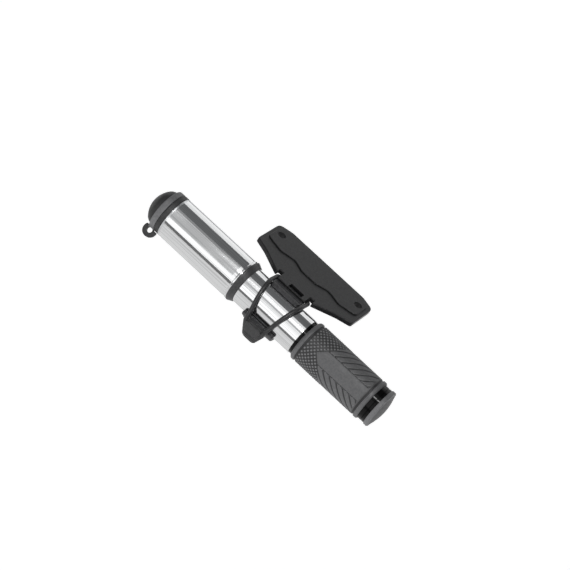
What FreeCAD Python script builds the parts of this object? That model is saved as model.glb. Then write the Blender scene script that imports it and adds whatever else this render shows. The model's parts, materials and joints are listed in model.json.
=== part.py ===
"""Hand pump for a bicycle, held in the clip of its frame bracket.

Row frame, millimetres: X runs along the pump, +X towards the rubber grip. Z is the axis of the two
bracket bolts, +Z away from the frame tube. The origin is midway between the bolts, on the underside
of the bracket plate. The pump lies beside the plate, on its -Y side.

The pump: a long barrel with the rubber grip on one end. A polished handle sleeve slides over its
other end and drives a hollow rod with a piston. A hose is stored in the rod and pulls out of the
handle's end, under a domed dust cap.

The pump's own parts are drawn round the X axis and then moved to the pump axis.
"""

import FreeCAD
import Part
import math
import os

V = FreeCAD.Vector
X_AXIS = V(1, 0, 0)
OUT = "parts"

# ---- where the pump lies: angles round its axis are 0 towards -Y and 90 towards +Z
PUMP_Y = -40.0
PUMP_Z = -13.1

# ---- barrel and grip
BARREL_R = 12.6
BARREL_BORE_R = 10.9
BARREL_LEFT = -68.0
BARREL_SHOULDER = 23.9
BARREL_RIGHT = 79.5
GRIP_SEAT_R = 11.6
GRIP_LEFT = 26.1
GRIP_RIGHT = 80.6
GRIP_R = 13.8
GRIP_RING_R = 13.9
GRIP_BORE_R = 12.5
GRIP_GROOVE_R = 13.4
CORE_REVEAL_R = 12.1
CORE_WALL_R = 12.45
CORE_RIGHT = 79.4
END_PLUG_LEFT = 73.5
END_PLUG_R = 10.85
NECK_R = 12.7
NECK_RIGHT = 85.6
BUMPER_RIM_R = 13.15
BUMPER_RIM_RIGHT = 88.3
BUMPER_TIP = 90.5

# ---- handle sleeve, collar and end plug
SLEEVE_R = 14.3
SLEEVE_BORE_R = 13.35
SLEEVE_LEFT = -82.8
SLEEVE_RIGHT = -26.35
LIP_WIDTH = 1.65
LIP_R = 14.62
COLLAR_RIGHT = -22.2
FLANGE_LEFT = -84.0
NOSE_LEFT = -90.0
NOSE_R = 12.3
PLUG_RIGHT = -70.3
SOCKET_R = 7.2
SOCKET_END = -78.0

# ---- rod, gland and piston
ROD_R = 6.0
ROD_BORE_R = 4.8
ROD_RIGHT = 62.0
GLAND_LEFT = -70.0
GLAND_RIGHT = -58.2
GLAND_R = 11.4
GLAND_RIM_R = 12.5
GLAND_GROOVE_R = 8.2
PISTON_LEFT = 58.0
PISTON_RIGHT = 72.0
PISTON_R = 10.75
PISTON_GROOVE_R = 8.25
RUNNING_GAP = 0.06
VALVE_BALL_R = 2.0
VALVE_BALL_X = 67.45
VALVE_SEAT_LEFT = 69.2
VALVE_CHAMBER_R = 2.6
VALVE_CHAMBER_LEFT = 63.0

# ---- hose and head
HOSE_R = 3.1
HOSE_BORE_R = 1.6
HOSE_LEFT = -83.0
HOSE_RIGHT = 44.0
FERRULE_LEFT = 38.0
FERRULE_RIGHT = 47.0
FERRULE_R = 4.7
HEAD_R = 6.6
CHUCK_R = 6.9
CHUCK_LEFT = -96.4
CHUCK_RIGHT = -89.4
VALVE_BORE_R = 4.0
VALVE_BORE_RIGHT = -92.4

# ---- dust cap
RING_LEFT = -87.4
CAP_R = 14.2
CAP_BORE_R = 12.75
CAP_BAND_LEFT = -91.6
CAP_DOME_R = 12.3
CAP_TIP = -100.0
CAP_WALL = 1.3
CAP_BORE_LEFT = -90.4
CAP_SHOULDER_R = 6.0
LOOP_ANGLE = -55.0
LOOP_X = -89.6
LOOP_DISTANCE = 15.6
LOOP_R = 4.65
LOOP_HOLE_R = 1.8
LOOP_THICKNESS = 3.0
LOOP_GAP = 0.3

# ---- bracket
PLATE_TOP = 3.0
LAND_TOP = 3.8
BOLT_SPACING = 64.0
BOLT_HOLE_R = 2.7
TUBE_R = 25.0
CLIP_R = 15.4
CLIP_BORE_R = 12.8
CLIP_HALF = 11.0
EAR_HALF = 12.2
EAR_TURN = 18.0
LIP_CORNER_R = 1.8
CLIP_TOP_LIP = 86.4
CLIP_LOW_LIP = -21.7
ARM_END_Y = -34.5
NECK_HALF = 11.0
NOTCH_Y = -26.9
NOTCH_HALF = 14.2
WINDOW_X = 2.4
WINDOW_HALF = 5.2
WINDOW_LOW = -34.0
WINDOW_HIGH = -29.9
HOOK_ANGLE = -38.0
HOOK_HALF = 4.0
HOOK_R = 18.2

# ---- retaining strap
CORD_R = 1.35
STRAP_ROOM_R = 1.6
STRAP_HALF = 12.6
STRAP_BEND_HALF = 8.4
STRAP_BACK_Y = -28.4
STRAP_BACK_Z = -0.45
TAB_ANGLE = -15.0
TAB_INNER = 15.75
TAB_LENGTH = 15.4
RIDGE_HALF = 3.9


# ---- drawing helpers
def save(shape, name):
    shape.exportStep(os.path.join(OUT, name + ".step"))


def disc(x0, x1, r):
    return Part.makeCylinder(r, x1 - x0, V(x0, 0, 0), X_AXIS)


def tube(x0, x1, r, bore):
    return disc(x0, x1, r).cut(disc(x0 - 1, x1 + 1, bore))


def edges_of(points):
    return [Part.makeLine(V(*a), V(*b)) for a, b in zip(points, points[1:])]


def turned(profile):
    """A solid turned round the X axis from a closed outline of (x, radius) points."""
    points = [(x, r, 0) for x, r in profile]
    face = Part.Face(Part.Wire(edges_of(points + points[:1])))
    return face.revolve(V(0, 0, 0), X_AXIS, 360)


def o_ring(x, centre_r, section_r):
    return Part.makeTorus(centre_r, section_r, V(x, 0, 0), X_AXIS)


def at_pump(shape):
    moved = shape.copy()
    moved.translate(V(0, PUMP_Y, PUMP_Z))
    return moved


def around(x, angle, r):
    """The row-frame point at that place round the pump's axis."""
    a = math.radians(angle)
    return V(x, PUMP_Y - r * math.cos(a), PUMP_Z + r * math.sin(a))


def outward(angle):
    a = math.radians(angle)
    return V(0, -math.cos(a), math.sin(a))


def rounded_wire(points, radii):
    """A closed wire through the points, with an arc of its own radius at each corner."""
    edges = []
    ends = []
    n = len(points)
    for i, corner in enumerate(points):
        before = (points[i - 1] - corner).normalize()
        after = (points[(i + 1) % n] - corner).normalize()
        half = before.getAngle(after) / 2
        reach = radii[i] / math.tan(half)
        middle = (before + after).normalize()
        top = corner + middle * (radii[i] / math.sin(half) - radii[i])
        ends.append((corner + before * reach, top, corner + after * reach))
    for i, (start, top, end) in enumerate(ends):
        if (start - end).Length > 1e-6:
            edges.append(Part.Arc(start, top, end).toShape())
        edges.append(Part.makeLine(end, ends[(i + 1) % n][0]))
    return Part.Wire(edges)


def soft_path(points, share=0.45):
    """An open wire of straight runs joined by tangent arcs, as large as the runs beside them allow."""
    edges = []
    last = points[0]
    for a, b, c in zip(points, points[1:], points[2:]):
        to_a = (a - b).normalize()
        to_c = (c - b).normalize()
        reach = share * min((a - b).Length, (c - b).Length)
        half = to_a.getAngle(to_c) / 2
        radius = reach * math.tan(half)
        middle = (to_a + to_c).normalize()
        top = b + middle * (radius / math.sin(half) - radius)
        edges.append(Part.makeLine(last, b + to_a * reach))
        edges.append(Part.Arc(b + to_a * reach, top, b + to_c * reach).toShape())
        last = b + to_c * reach
    edges.append(Part.makeLine(last, points[-1]))
    return Part.Wire(edges)


def round_cord(points, r):
    path = soft_path(points)
    start = points[1] - points[0]
    ring = Part.Wire(Part.makeCircle(r, points[0], start))
    return path.makePipeShell([ring], True, True)


def arc_about(centre, r, angle0, angle1):
    """An arc in the XY plane, between two angles in radians."""
    places = [angle0, (angle0 + angle1) / 2, angle1]
    return Part.Arc(*[centre + V(r * math.cos(a), r * math.sin(a), 0) for a in places]).toShape()


def dome_outline(x_base, r_base, x_tip, shoulder_r):
    """The two arcs of a dome's outline: a tight shoulder at its rim, then a wide crown over the axis."""
    height = abs(x_tip - x_base)
    way = 1 if x_tip > x_base else -1
    inset = r_base - shoulder_r
    crown_r = (height**2 + inset**2 - shoulder_r**2) / (2 * (height - shoulder_r))
    turn = math.asin(inset / (crown_r - shoulder_r))
    meeting = turn if way > 0 else math.pi - turn
    shoulder = arc_about(V(x_base, inset, 0), shoulder_r, math.pi / 2, meeting)
    crown = arc_about(V(x_tip - way * crown_r, 0, 0), crown_r, meeting, 0 if way > 0 else math.pi)
    return [shoulder, crown]


def turned_edges(edges):
    """A solid turned round the X axis from the edges of a closed outline."""
    face = Part.Face(Part.Wire(Part.__sortEdges__(edges)))
    return face.revolve(V(0, 0, 0), X_AXIS, 360)


# ---- barrel, held in the clip
def barrel_tube():
    body = turned(
        [
            (BARREL_LEFT, GLAND_R),
            (BARREL_LEFT, BARREL_R - 0.3),
            (BARREL_LEFT + 0.3, BARREL_R),
            (BARREL_SHOULDER, BARREL_R),
            (BARREL_SHOULDER, GRIP_SEAT_R),
            (BARREL_RIGHT, GRIP_SEAT_R),
            (BARREL_RIGHT, BARREL_BORE_R),
            (GLAND_RIGHT, BARREL_BORE_R),
            (GLAND_RIGHT, GLAND_R),
        ]
    )
    return at_pump(body)


def grip_core():
    return at_pump(
        turned(
            [
                (BARREL_SHOULDER + 0.05, GRIP_SEAT_R + 0.05),
                (BARREL_SHOULDER + 0.05, CORE_REVEAL_R),
                (GRIP_LEFT, CORE_REVEAL_R),
                (GRIP_LEFT, CORE_WALL_R),
                (CORE_RIGHT, CORE_WALL_R),
                (CORE_RIGHT, GRIP_SEAT_R + 0.05),
            ]
        )
    )


def grip_sleeve():
    return at_pump(
        turned(
            [
                (GRIP_LEFT, GRIP_BORE_R),
                (GRIP_LEFT, 12.9),
                (GRIP_LEFT + 0.8, GRIP_GROOVE_R),
                (GRIP_LEFT + 1.7, GRIP_RING_R),
                (GRIP_LEFT + 2.8, GRIP_RING_R),
                (GRIP_LEFT + 3.1, GRIP_GROOVE_R),
                (GRIP_LEFT + 3.6, GRIP_GROOVE_R),
                (GRIP_LEFT + 3.9, GRIP_R),
                (GRIP_RIGHT - 3.7, GRIP_R),
                (GRIP_RIGHT - 3.5, GRIP_GROOVE_R),
                (GRIP_RIGHT - 3.0, GRIP_GROOVE_R),
                (GRIP_RIGHT - 2.8, GRIP_RING_R),
                (GRIP_RIGHT - 0.4, GRIP_RING_R),
                (GRIP_RIGHT, 13.5),
                (GRIP_RIGHT, GRIP_BORE_R),
            ]
        )
    )


def barrel_end_plug():
    return at_pump(
        turned(
            [
                (END_PLUG_LEFT, 0),
                (END_PLUG_LEFT, END_PLUG_R),
                (75.4, END_PLUG_R),
                (75.4, 8.95),
                (77.7, 8.95),
                (77.7, END_PLUG_R),
                (79.55, END_PLUG_R),
                (79.55, 12.4),
                (80.7, 12.4),
                (80.7, NECK_R),
                (83.3, NECK_R),
                (83.5, 12.3),
                (83.7, 12.3),
                (83.9, NECK_R),
                (NECK_RIGHT, NECK_R),
                (NECK_RIGHT, 8.0),
                (80.5, 8.0),
                (80.5, 0),
            ]
        )
    )


def end_plug_seal():
    return at_pump(o_ring(76.55, 9.93, 0.92))


def rear_bumper():
    """Rim and shallow domed end, with a hollow stem pressed into the end plug."""
    rim_end = BUMPER_RIM_RIGHT + 0.15
    side = [
        (BUMPER_TIP, 0, 0),
        (84.0, 0, 0),
        (84.0, 6.2, 0),
        (81.5, 6.2, 0),
        (81.5, 7.95, 0),
        (NECK_RIGHT, 7.95, 0),
        (NECK_RIGHT, 12.8, 0),
        (NECK_RIGHT + 0.4, BUMPER_RIM_R, 0),
        (BUMPER_RIM_RIGHT, BUMPER_RIM_R, 0),
        (rim_end, 13.0, 0),
    ]
    return at_pump(turned_edges(edges_of(side) + dome_outline(rim_end, 13.0, BUMPER_TIP, 1.0)))


def rod_gland():
    bore = ROD_R + RUNNING_GAP
    return at_pump(
        turned(
            [
                (GLAND_LEFT, bore),
                (GLAND_LEFT, GLAND_RIM_R - 0.3),
                (GLAND_LEFT + 0.3, GLAND_RIM_R),
                (BARREL_LEFT - 0.02, GLAND_RIM_R),
                (BARREL_LEFT - 0.02, GLAND_R - 0.04),
                (GLAND_RIGHT, GLAND_R - 0.04),
                (GLAND_RIGHT, bore),
                (-62.9, bore),
                (-62.9, GLAND_GROOVE_R),
                (-65.1, GLAND_GROOVE_R),
                (-65.1, bore),
            ]
        )
    )


def gland_wiper():
    return at_pump(o_ring(-64.0, 7.12, 1.0))


def gland_bumper():
    return at_pump(tube(GLAND_RIGHT + 0.05, -56.1, 10.2, 6.4))


# ---- handle: sleeve, collar, end plug, rod and piston
def handle_sleeve():
    """Thin sleeve that necks in a little before its rolled lip."""
    lip_left = SLEEVE_RIGHT - LIP_WIDTH
    neck_left = V(lip_left - 2.2, SLEEVE_R, 0)
    neck_right = V(lip_left, SLEEVE_R - 0.22, 0)
    lip_right = V(SLEEVE_RIGHT, SLEEVE_R - 0.1, 0)
    lip_top = V(lip_left + 0.45 * LIP_WIDTH, LIP_R, 0)
    side = [
        (SLEEVE_RIGHT, SLEEVE_R - 0.1, 0),
        (SLEEVE_RIGHT, SLEEVE_BORE_R, 0),
        (SLEEVE_LEFT, SLEEVE_BORE_R, 0),
        (SLEEVE_LEFT, SLEEVE_R, 0),
        (lip_left - 2.2, SLEEVE_R, 0),
    ]
    neck = Part.Arc(neck_left, V(lip_left - 1.0, SLEEVE_R - 0.06, 0), neck_right).toShape()
    lip = Part.Arc(neck_right, lip_top, lip_right).toShape()
    return at_pump(turned_edges(edges_of(side) + [neck, lip]))


def handle_collar():
    bore = BARREL_R + RUNNING_GAP + 0.02
    return at_pump(
        turned(
            [
                (-33.5, bore),
                (-33.5, 13.3),
                (SLEEVE_RIGHT + 0.03, 13.3),
                (SLEEVE_RIGHT + 0.03, 14.5),
                (SLEEVE_RIGHT + 0.25, 14.7),
                (SLEEVE_RIGHT + 0.7, 14.6),
                (COLLAR_RIGHT - 0.15, 13.15),
                (COLLAR_RIGHT, 12.95),
                (COLLAR_RIGHT, bore),
            ]
        )
    )


def loop_room():
    """The space in which the dust cap's loop turns when the cap swings off."""
    across = X_AXIS.cross(outward(LOOP_ANGLE))
    width = LOOP_THICKNESS + 2 * LOOP_GAP
    start = around(LOOP_X, LOOP_ANGLE, LOOP_DISTANCE) - across * (width / 2)
    return Part.makeCylinder(LOOP_R + LOOP_GAP, width, start, across)


def handle_end_plug():
    body = at_pump(
        turned(
            [
                (NOSE_LEFT, SOCKET_R),
                (NOSE_LEFT, NOSE_R - 0.6),
                (NOSE_LEFT + 0.6, NOSE_R),
                (FLANGE_LEFT, NOSE_R),
                (FLANGE_LEFT, 14.1),
                (FLANGE_LEFT + 0.2, SLEEVE_R),
                (SLEEVE_LEFT - 0.02, SLEEVE_R),
                (SLEEVE_LEFT - 0.02, 13.3),
                (PLUG_RIGHT, 13.3),
                (PLUG_RIGHT, ROD_R + 0.02),
                (SOCKET_END, ROD_R + 0.02),
                (SOCKET_END, SOCKET_R),
            ]
        )
    )
    return body.cut(loop_room())


def cap_retaining_ring():
    body = at_pump(
        turned(
            [
                (RING_LEFT, 12.4),
                (RING_LEFT, 13.95),
                (RING_LEFT + 0.3, CAP_R),
                (FLANGE_LEFT - 0.35, CAP_R),
                (FLANGE_LEFT - 0.02, 13.9),
                (FLANGE_LEFT - 0.02, 12.4),
            ]
        )
    )
    return body.cut(loop_room())


def piston_rod():
    return at_pump(tube(SOCKET_END + 0.02, ROD_RIGHT, ROD_R, ROD_BORE_R))


def hose_bush():
    return at_pump(tube(SOCKET_END + 0.02, -72.0, ROD_BORE_R - 0.02, HOSE_R + RUNNING_GAP))


def piston_head():
    return at_pump(
        turned(
            [
                (PISTON_LEFT, ROD_R + 0.02),
                (PISTON_LEFT, PISTON_R - 0.4),
                (PISTON_LEFT + 0.4, PISTON_R),
                (63.5, PISTON_R),
                (63.5, PISTON_GROOVE_R),
                (67.1, PISTON_GROOVE_R),
                (67.1, PISTON_R),
                (PISTON_RIGHT - 0.4, PISTON_R),
                (PISTON_RIGHT, PISTON_R - 0.4),
                (PISTON_RIGHT, 3.2),
                (VALVE_SEAT_LEFT, 3.2),
                (VALVE_SEAT_LEFT, VALVE_CHAMBER_R),
                (VALVE_CHAMBER_LEFT, VALVE_CHAMBER_R),
                (VALVE_CHAMBER_LEFT, 1.4),
                (ROD_RIGHT + 0.05, 1.4),
                (ROD_RIGHT + 0.05, ROD_R + 0.02),
            ]
        )
    )


def piston_seal():
    return at_pump(o_ring(65.3, 9.58, 1.28))


def valve_seat():
    return at_pump(tube(VALVE_SEAT_LEFT + 0.02, PISTON_RIGHT, 3.18, 1.0))


def valve_spring():
    """A plain coil between the chamber's shoulder and the ball."""
    wire_r = 0.2
    coil_r = 1.55
    turns = 3.25
    steps_per_turn = 8
    low = VALVE_CHAMBER_LEFT + wire_r + 0.05
    rise = VALVE_BALL_X - 1.75 - low
    steps = int(turns * steps_per_turn)
    points = []
    for i in range(steps + 1):
        a = 2 * math.pi * i / steps_per_turn
        points.append(V(low + rise * i / steps, coil_r * math.cos(a), coil_r * math.sin(a)))
    return at_pump(round_cord(points, wire_r))


def valve_ball():
    return at_pump(Part.makeSphere(VALVE_BALL_R, V(VALVE_BALL_X, 0, 0)))


# ---- hose and head
def hose():
    return at_pump(tube(HOSE_LEFT, HOSE_RIGHT, HOSE_R, HOSE_BORE_R))


def hose_ferrule():
    return at_pump(
        turned(
            [
                (FERRULE_LEFT, HOSE_R + 0.02),
                (FERRULE_LEFT, FERRULE_R - 0.3),
                (FERRULE_LEFT + 0.3, FERRULE_R),
                (40.1, FERRULE_R),
                (40.1, 3.75),
                (41.7, 3.75),
                (41.7, FERRULE_R),
                (FERRULE_RIGHT - 0.3, FERRULE_R),
                (FERRULE_RIGHT, FERRULE_R - 0.3),
                (FERRULE_RIGHT, HOSE_BORE_R),
                (HOSE_RIGHT + 0.02, HOSE_BORE_R),
                (HOSE_RIGHT + 0.02, HOSE_R + 0.02),
            ]
        )
    )


def ferrule_seal():
    return at_pump(o_ring(40.9, 4.28, 0.48))


def hose_crimp():
    return at_pump(
        turned(
            [
                (HOSE_LEFT, HOSE_R + 0.02),
                (HOSE_LEFT, 5.2),
                (-80.6, 5.2),
                (-80.3, 4.9),
                (-80.0, 5.2),
                (-79.0, 5.2),
                (-78.3, 4.2),
                (-78.3, HOSE_R + 0.02),
            ]
        )
    )


def head_body():
    """Body of the head, with the barb that holds the hose."""
    body = turned(
        [
            (-92.3, 4.6),
            (-92.3, 5.4),
            (-89.3, 5.4),
            (-89.3, HEAD_R - 0.3),
            (-89.0, HEAD_R),
            (-84.0, HEAD_R),
            (-83.02, 5.6),
            (-83.02, 1.55),
            (-79.5, 1.55),
            (-79.2, 1.3),
            (-79.2, 0.8),
            (-86.0, 0.8),
            (-86.0, 2.2),
            (-90.4, 2.2),
            (-90.4, 4.6),
        ]
    )
    return at_pump(body)


def head_gasket():
    return at_pump(tube(-92.2, -90.45, 4.55, 2.7))


def head_chuck():
    """The lock collar that threads on to a valve, with a fluted rim."""
    body = turned(
        [
            (CHUCK_LEFT, VALVE_BORE_R),
            (CHUCK_LEFT, 6.2),
            (CHUCK_LEFT + 0.9, CHUCK_R),
            (CHUCK_RIGHT - 0.3, CHUCK_R),
            (CHUCK_RIGHT, CHUCK_R - 0.3),
            (CHUCK_RIGHT, 5.5),
            (VALVE_BORE_RIGHT, 5.5),
            (VALVE_BORE_RIGHT, VALVE_BORE_R),
        ]
    )
    flutes = 16
    flute_r = 0.6
    for i in range(flutes):
        a = 2 * math.pi * i / flutes
        centre = V(CHUCK_LEFT + 1.8, 7.1 * math.cos(a), 7.1 * math.sin(a))
        body = body.cut(Part.makeCylinder(flute_r, 4.2, centre, X_AXIS))
    return at_pump(body)


# ---- dust cap
def cap_shell():
    inside_r = CAP_DOME_R - CAP_WALL
    inside_tip = CAP_TIP + CAP_WALL
    right = RING_LEFT - 0.2
    band = [
        (CAP_BAND_LEFT, CAP_DOME_R, 0),
        (CAP_BAND_LEFT, CAP_R - 0.5, 0),
        (CAP_BAND_LEFT + 0.5, CAP_R, 0),
        (right - 0.3, CAP_R, 0),
        (right, CAP_R - 0.3, 0),
        (right, CAP_BORE_R, 0),
        (CAP_BORE_LEFT, CAP_BORE_R, 0),
        (CAP_BORE_LEFT, inside_r, 0),
        (CAP_BAND_LEFT, inside_r, 0),
    ]
    dome = dome_outline(CAP_BAND_LEFT, CAP_DOME_R, CAP_TIP, CAP_SHOULDER_R)
    hollow = dome_outline(CAP_BAND_LEFT, inside_r, inside_tip, CAP_SHOULDER_R - CAP_WALL)
    return turned_edges(edges_of(band) + dome + hollow + edges_of([(CAP_TIP, 0, 0), (inside_tip, 0, 0)]))


def dust_cap():
    """Dome and rim band, with a pull loop that stands out over the retaining ring."""
    middle = around(LOOP_X, LOOP_ANGLE, LOOP_DISTANCE)
    across = X_AXIS.cross(outward(LOOP_ANGLE))
    loop = Part.makeCylinder(LOOP_R, LOOP_THICKNESS, middle - across * (LOOP_THICKNESS / 2), across)
    hole_start = middle - across * LOOP_THICKNESS
    loop = loop.cut(Part.makeCylinder(LOOP_HOLE_R, 2 * LOOP_THICKNESS, hole_start, across))
    ring_side = at_pump(disc(RING_LEFT - 0.2, RING_LEFT + 10, SLEEVE_R + 0.2))
    inside = at_pump(disc(CAP_TIP, RING_LEFT, CAP_BORE_R + 0.5))
    return at_pump(cap_shell()).fuse(loop.cut([ring_side, inside])).removeSplitter()


# ---- bracket
def mirrored(right_side):
    """Points of an outline that is symmetric about X = 0, from its +X half."""
    left = [V(-p.x, p.y, p.z) for p in reversed(right_side)]
    return right_side + left


def eased(shape, height, radius):
    """The shape with its edges at that height rounded."""
    level = [e for e in shape.Edges if all(abs(v.Z - height) < 1e-6 for v in e.Vertexes)]
    return shape.makeFillet(radius, level)


def bracket_plate():
    right = [
        V(NECK_HALF, ARM_END_Y, 0),
        V(NECK_HALF, NOTCH_Y, 0),
        V(NOTCH_HALF, NOTCH_Y, 0),
        V(NOTCH_HALF, -30.6, 0),
        V(29.5, -21.4, 0),
        V(39.2, -17.4, 0),
        V(39.2, 8.5, 0),
        V(30.0, 11.5, 0),
    ]
    radii = [0.8, 0.7, 0.7, 0.7, 14.0, 2.2, 4.0, 12.0]
    outline = rounded_wire(mirrored(right), radii + radii[::-1])
    plate = Part.Face(outline).extrude(V(0, 0, PLATE_TOP))
    plate = eased(plate, PLATE_TOP, 0.6)
    land_right = [
        V(6.0, -13.6, PLATE_TOP),
        V(14.0, -9.8, PLATE_TOP),
        V(24.0, -12.8, PLATE_TOP),
        V(36.6, -9.5, PLATE_TOP),
        V(36.6, 6.5, PLATE_TOP),
        V(28.0, 8.5, PLATE_TOP),
    ]
    land_radii = [4.0, 6.0, 6.0, 3.0, 3.0, 8.0]
    land = rounded_wire(mirrored(land_right), land_radii + land_radii[::-1])
    land_solid = Part.Face(land).extrude(V(0, 0, LAND_TOP - PLATE_TOP))
    plate = plate.fuse(eased(land_solid, LAND_TOP, 0.3))
    for side in (-1, 1):
        rib = Part.makeBox(60, 2.4, 3.0, V(-30, side * 9.6 - 1.2, -2.8))
        plate = plate.fuse(rib)
    plate = plate.cut(Part.makeCylinder(TUBE_R, 100, V(-50, 0, -TUBE_R), X_AXIS))
    for side in (-1, 1):
        plate = plate.cut(Part.makeCylinder(BOLT_HOLE_R, 10, V(side * BOLT_SPACING / 2, 0, -3)))
    window_width = 2 * WINDOW_HALF
    window_depth = WINDOW_HIGH - WINDOW_LOW
    plate = plate.cut(Part.makeBox(window_width, window_depth, 10, V(WINDOW_X - WINDOW_HALF, WINDOW_LOW, -3)))
    clip_room = at_pump(disc(-NOTCH_HALF, NOTCH_HALF, CLIP_R + 0.05))
    return plate.cut([clip_room, strap_leg(1, STRAP_ROOM_R), strap_leg(-1, STRAP_ROOM_R)]).removeSplitter()


def wedge(angle_from, angle_to, r, half):
    """A solid wedge round the pump's axis, between two angles, as wide as 2 * half."""
    centre = around(-half, 0, 0)
    steps = 6
    span = angle_to - angle_from
    far = r / math.cos(math.radians(span / steps / 2))
    rim = [around(-half, angle_from + span * i / steps, far) for i in range(steps + 1)]
    points = [centre] + rim + [centre]
    wire = Part.Wire([Part.makeLine(a, b) for a, b in zip(points, points[1:])])
    return Part.Face(wire).extrude(V(2 * half, 0, 0))


def lip_corner(end, half, angle, sense):
    """What comes off to round a lip's corner, from its end, half width, angle and its wall's direction."""
    r = LIP_CORNER_R
    block = Part.makeBox(r + 1, r + 1, CLIP_R, V(half - r, -1, CLIP_BORE_R - 4))
    block = block.cut(Part.makeCylinder(r, CLIP_R, V(half - r, r, CLIP_BORE_R - 4)))
    if end < 0:
        block = block.mirror(V(), X_AXIS)
    if sense < 0:
        block = block.mirror(V(), V(0, 1, 0))
    block.rotate(V(), X_AXIS, 90 - angle)
    return at_pump(block)


def clip_cradle():
    ring = at_pump(tube(-CLIP_HALF, CLIP_HALF, CLIP_R, CLIP_BORE_R))
    jaw = ring.cut(wedge(CLIP_LOW_LIP, CLIP_TOP_LIP, CLIP_R + 1, CLIP_HALF + 1))
    ears_end = CLIP_LOW_LIP - EAR_TURN
    ears = at_pump(tube(-EAR_HALF, EAR_HALF, CLIP_R, CLIP_BORE_R))
    ears = ears.common(wedge(ears_end, CLIP_LOW_LIP, CLIP_R + 1, EAR_HALF + 1))
    for end in (-1, 1):
        jaw = jaw.cut(lip_corner(end, CLIP_HALF, CLIP_TOP_LIP, 1))
        ears = ears.cut([lip_corner(end, EAR_HALF, CLIP_LOW_LIP, -1), lip_corner(end, EAR_HALF, ears_end, 1)])
    jaw = jaw.fuse(ears)
    hook = wedge(HOOK_ANGLE - 3.5, HOOK_ANGLE + 3.5, HOOK_R, HOOK_HALF)
    hook = hook.cut(at_pump(disc(-HOOK_HALF - 1, HOOK_HALF + 1, CLIP_R - 0.6)))
    gap = 0.25
    width = 2 * (WINDOW_HALF - gap)
    depth = WINDOW_HIGH - WINDOW_LOW - 2 * gap
    tongue = Part.makeBox(width, depth, 3.6, V(WINDOW_X - WINDOW_HALF + gap, WINDOW_LOW + gap, -2.6))
    tongue = tongue.cut(at_pump(disc(-CLIP_HALF, CLIP_HALF, CLIP_R - 0.6)))
    ridge_turns = (97.0, 109.0)
    body = jaw.fuse([hook, tongue])
    for angle in ridge_turns:
        ridge = wedge(angle - 1.2, angle + 1.2, CLIP_R + 0.35, CLIP_HALF - 0.8)
        body = body.fuse(ridge.cut(at_pump(disc(-CLIP_HALF, CLIP_HALF, CLIP_R - 0.6))))
    return body.cut([strap_leg(1, STRAP_ROOM_R), strap_leg(-1, STRAP_ROOM_R)]).removeSplitter()


# ---- strap
def strap_leg(side, r):
    """One leg: from the middle of the strap's back, beside the arm and over the pump to the tab."""
    on_tube = BARREL_R + 0.25 + CORD_R
    corner = 1 / math.cos(math.radians(11.5))
    turns = [(12.6, 88), (11.6, 66), (10.5, 43), (9.2, 20), (8.2, 1)]
    back = V(0, STRAP_BACK_Y, STRAP_BACK_Z)
    bend = V(side * STRAP_BEND_HALF, STRAP_BACK_Y, STRAP_BACK_Z)
    points = [bend, V(side * STRAP_HALF, STRAP_BACK_Y, STRAP_BACK_Z)]
    for x, angle in turns:
        points.append(around(side * x, angle, on_tube * corner * 1.01))
    points.append(around(side * 7.4, -12, TAB_INNER + 1.7))
    points.append(around(side * 7.0, -24, TAB_INNER + 2.6))
    straight_back = Part.makeCylinder(r, STRAP_BEND_HALF, back, V(side, 0, 0))
    return round_cord(points, r).fuse(straight_back).removeSplitter()


def on_tab(x, down, out):
    """A point of the thumb tab: down along it, and out from its inner face."""
    a = math.radians(TAB_ANGLE)
    along = V(0, -math.sin(a), -math.cos(a))
    return around(x, TAB_ANGLE, TAB_INNER + out) + along * down


def tab_slab(right_side, radii, out0, out1):
    right = [on_tab(x, down, out0) for x, down in right_side]
    left = [on_tab(-x, down, out0) for x, down in reversed(right_side)]
    face = Part.Face(rounded_wire(right + left, radii + radii[::-1]))
    return face.extrude(outward(TAB_ANGLE) * (out1 - out0))


def retaining_strap():
    body = strap_leg(1, CORD_R).fuse(strap_leg(-1, CORD_R))
    flap = tab_slab([(8.2, 0.4), (8.3, 4.0), (4.5, TAB_LENGTH)], [1.0, 2.5, 3.6], 0.0, 2.4)
    pad = tab_slab([(5.4, 1.0), (5.4, 8.6)], [0.8, 0.8], 2.0, 3.6)
    body = body.fuse([flap, pad])
    for down in (10.0, 11.5, 13.0):
        start = on_tab(-RIDGE_HALF, down, 2.3)
        body = body.fuse(Part.makeCylinder(0.45, 2 * RIDGE_HALF, start, X_AXIS))
    pocket = tab_slab([(HOOK_HALF + 0.5, 5.2), (HOOK_HALF + 0.5, 9.4)], [0.3, 0.3], -1.0, 2.3)
    return body.cut(pocket).removeSplitter()


NODES = {
    "bracket_plate": bracket_plate,
    "clip_cradle": clip_cradle,
    "retaining_strap": retaining_strap,
    "barrel_tube": barrel_tube,
    "grip_core": grip_core,
    "grip_sleeve": grip_sleeve,
    "barrel_end_plug": barrel_end_plug,
    "end_plug_seal": end_plug_seal,
    "rear_bumper": rear_bumper,
    "rod_gland": rod_gland,
    "gland_wiper": gland_wiper,
    "gland_bumper": gland_bumper,
    "handle_sleeve": handle_sleeve,
    "handle_collar": handle_collar,
    "handle_end_plug": handle_end_plug,
    "cap_retaining_ring": cap_retaining_ring,
    "piston_rod": piston_rod,
    "hose_bush": hose_bush,
    "piston_head": piston_head,
    "piston_seal": piston_seal,
    "valve_seat": valve_seat,
    "valve_spring": valve_spring,
    "valve_ball": valve_ball,
    "hose": hose,
    "hose_ferrule": hose_ferrule,
    "ferrule_seal": ferrule_seal,
    "hose_crimp": hose_crimp,
    "head_body": head_body,
    "head_gasket": head_gasket,
    "head_chuck": head_chuck,
    "dust_cap": dust_cap,
}

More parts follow.
